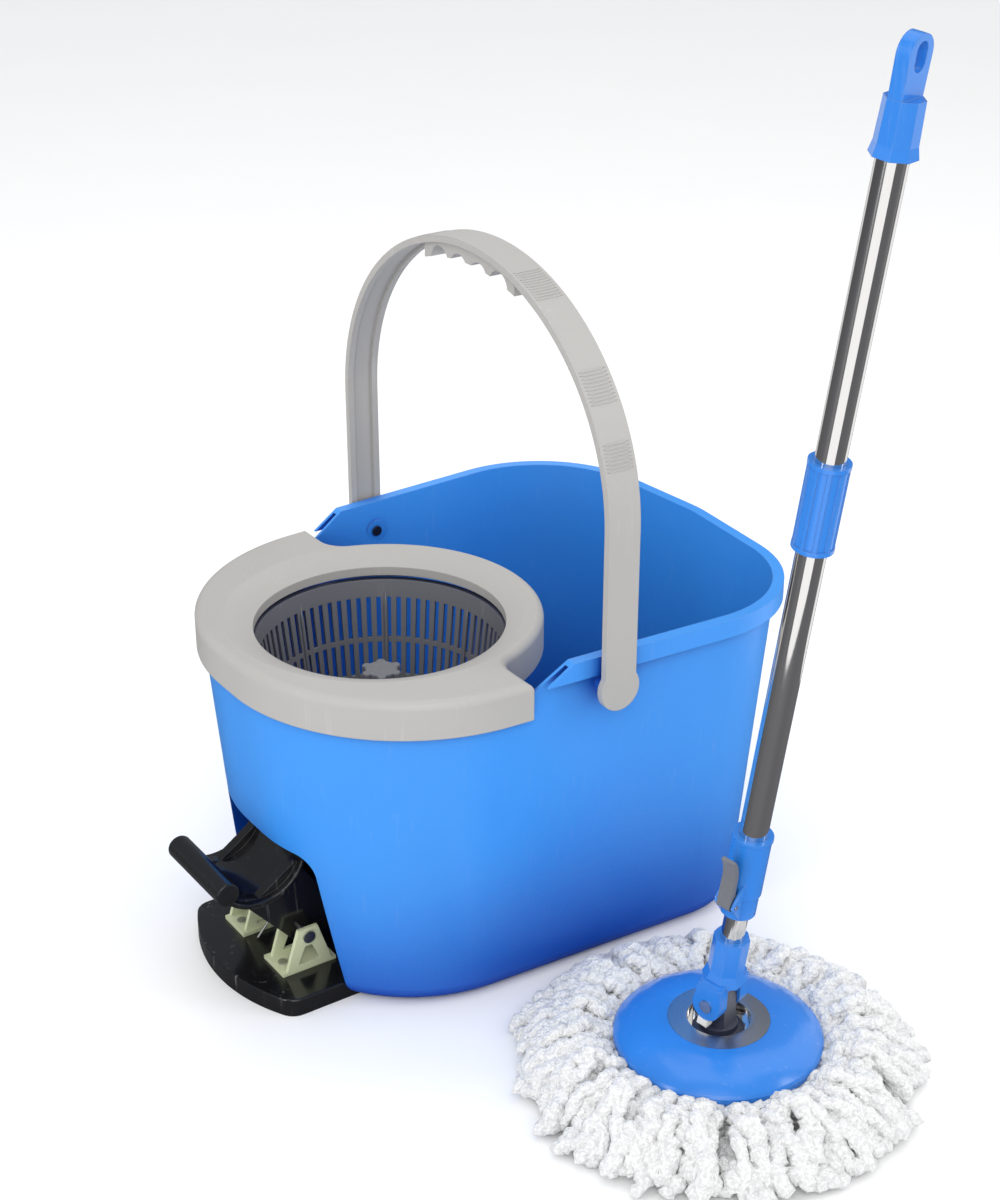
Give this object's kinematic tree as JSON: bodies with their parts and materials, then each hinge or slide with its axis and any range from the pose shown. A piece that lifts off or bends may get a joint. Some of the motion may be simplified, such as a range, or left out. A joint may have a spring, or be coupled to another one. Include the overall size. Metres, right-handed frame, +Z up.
{
  "type": "spin mop with pedal bucket",
  "caption": "Pedal-driven spin mop bucket with slotted basket, splash deck and folding strap handle, and a telescopic mop with a round swivelling yarn head.",
  "frame": {"origin": "on the floor under the basket's spindle, at the underside of the base plate's centre boss", "axes": "+Z up, +X from the pedal towards the water end of the tub, the mop stands on the -Y side"},
  "size_m": [0.455, 0.609, 0.7165],
  "materials": {
    "blue_plastic": "satin moulded polypropylene",
    "blue_fittings": "glossy blue mouldings",
    "warm_grey_plastic": "fine matte light warm grey",
    "mid_grey_plastic": "mid grey satin",
    "black_plastic": "black gloss",
    "cream_nylon": "translucent greenish cream nylon",
    "white_nylon": "white nylon",
    "chromed_steel": "polished",
    "brushed_steel": "turned",
    "zinc_steel": "bright zinc",
    "black_rubber": "soft",
    "white_microfibre": "chenille yarn"
  },
  "bodies": {
    "bucket": {"bucket_tub": "blue_plastic", "rubber_feet": "black_rubber", "splash_deck": "warm_grey_plastic", "base_plate": "black_plastic", "base_screws": "zinc_steel", "bail_pivots": "black_plastic", "spindle_bush_lower": "white_nylon", "spindle_bush_upper": "white_nylon", "spindle_seal": "black_rubber", "gear_frame": "cream_nylon", "pedal_bracket": "cream_nylon", "bracket_screws": "zinc_steel", "pedal_pin": "zinc_steel", "return_spring": "zinc_steel"},
    "bail": {"bail_handle": "warm_grey_plastic"},
    "basket": {"spin_basket": "mid_grey_plastic", "basket_hub": "mid_grey_plastic", "drive_spindle": "zinc_steel", "clutch_hub": "zinc_steel", "clutch_rollers": "zinc_steel"},
    "pinion": {"clutch_pinion": "cream_nylon"},
    "crown": {"crown_gear": "cream_nylon", "gear_axle": "zinc_steel"},
    "pedal": {"pedal_lever": "black_plastic", "sector_gear": "black_plastic", "sector_screws": "zinc_steel"},
    "mop_head": {"yarn_head": "white_microfibre", "refill_ring": "cream_nylon", "head_plate": "blue_fittings", "bearing_ring": "brushed_steel", "bearing_cup": "chromed_steel"},
    "swivel": {"knuckle": "mid_grey_plastic", "swivel_screw": "zinc_steel"},
    "fork": {"fork_socket": "blue_fittings", "tilt_pin": "zinc_steel", "lock_pads": "white_nylon", "inner_tube": "chromed_steel", "tube_plug": "white_nylon"},
    "handle": {"lower_tube": "chromed_steel", "upper_tube": "chromed_steel", "tube_coupling": "blue_fittings", "grip": "blue_fittings", "clamp_sleeve": "blue_fittings", "clamp_collet": "white_nylon", "clamp_pin": "zinc_steel"},
    "lever": {"clamp_lever": "mid_grey_plastic"}
  },
  "joints": [
    {"name": "bail_fold", "type": "hinge", "parent": "bucket", "child": "bail", "pos_m": [0.088, 0, 0.246], "axis": [0, 1, 0], "range_deg": [-95, 50]},
    {"name": "basket_spin", "type": "hinge", "parent": "bucket", "child": "basket", "pos_m": [0, 0, 0.13], "axis": [0, 0, 1], "continuous": true},
    {"name": "pedal_press", "type": "hinge", "parent": "bucket", "child": "pedal", "pos_m": [-0.094, 0, 0.042], "axis": [0, -1, 0], "range_deg": [0, 26], "stiffness_Nm_per_rad": 1.2, "springref_deg": -28.65, "deforming": ["return_spring"]},
    {"name": "crown_turn", "type": "hinge", "parent": "bucket", "child": "crown", "pos_m": [0, 0, 0.07306], "axis": [0, -1, 0], "range_deg": [-212, 4]},
    {"name": "pinion_turn", "type": "hinge", "parent": "bucket", "child": "pinion", "pos_m": [0, 0, 0.03], "axis": [0, 0, 1], "range_deg": [-8, 424]},
    {"name": "mop_slide", "type": "slide", "parent": "bucket", "child": "mop_head", "axis": [0, -1, 0], "range_m": [0, 1.2]},
    {"name": "head_swivel", "type": "hinge", "parent": "mop_head", "child": "swivel", "pos_m": [0.09, -0.288, 0.062], "axis": [0, 0, 1], "continuous": true},
    {"name": "handle_tilt", "type": "hinge", "parent": "swivel", "child": "fork", "pos_m": [0.09, -0.288, 0.062], "axis": [0.9659, 0.2588, 0], "range_deg": [-36, 71]},
    {"name": "handle_slide", "type": "slide", "parent": "fork", "child": "handle", "axis": [0.0351, -0.1311, 0.9907], "range_m": [0, 0.4]},
    {"name": "clamp_open", "type": "hinge", "parent": "handle", "child": "lever", "pos_m": [0.07674, -0.3042, 0.15117], "axis": [0.2564, -0.957, -0.1357], "range_deg": [0, 110]}
  ],
  "couplings": [
    {"joint": "crown_turn", "follows": "pedal_press", "ratio": -8},
    {"joint": "pinion_turn", "follows": "pedal_press", "ratio": 16}
  ]
}
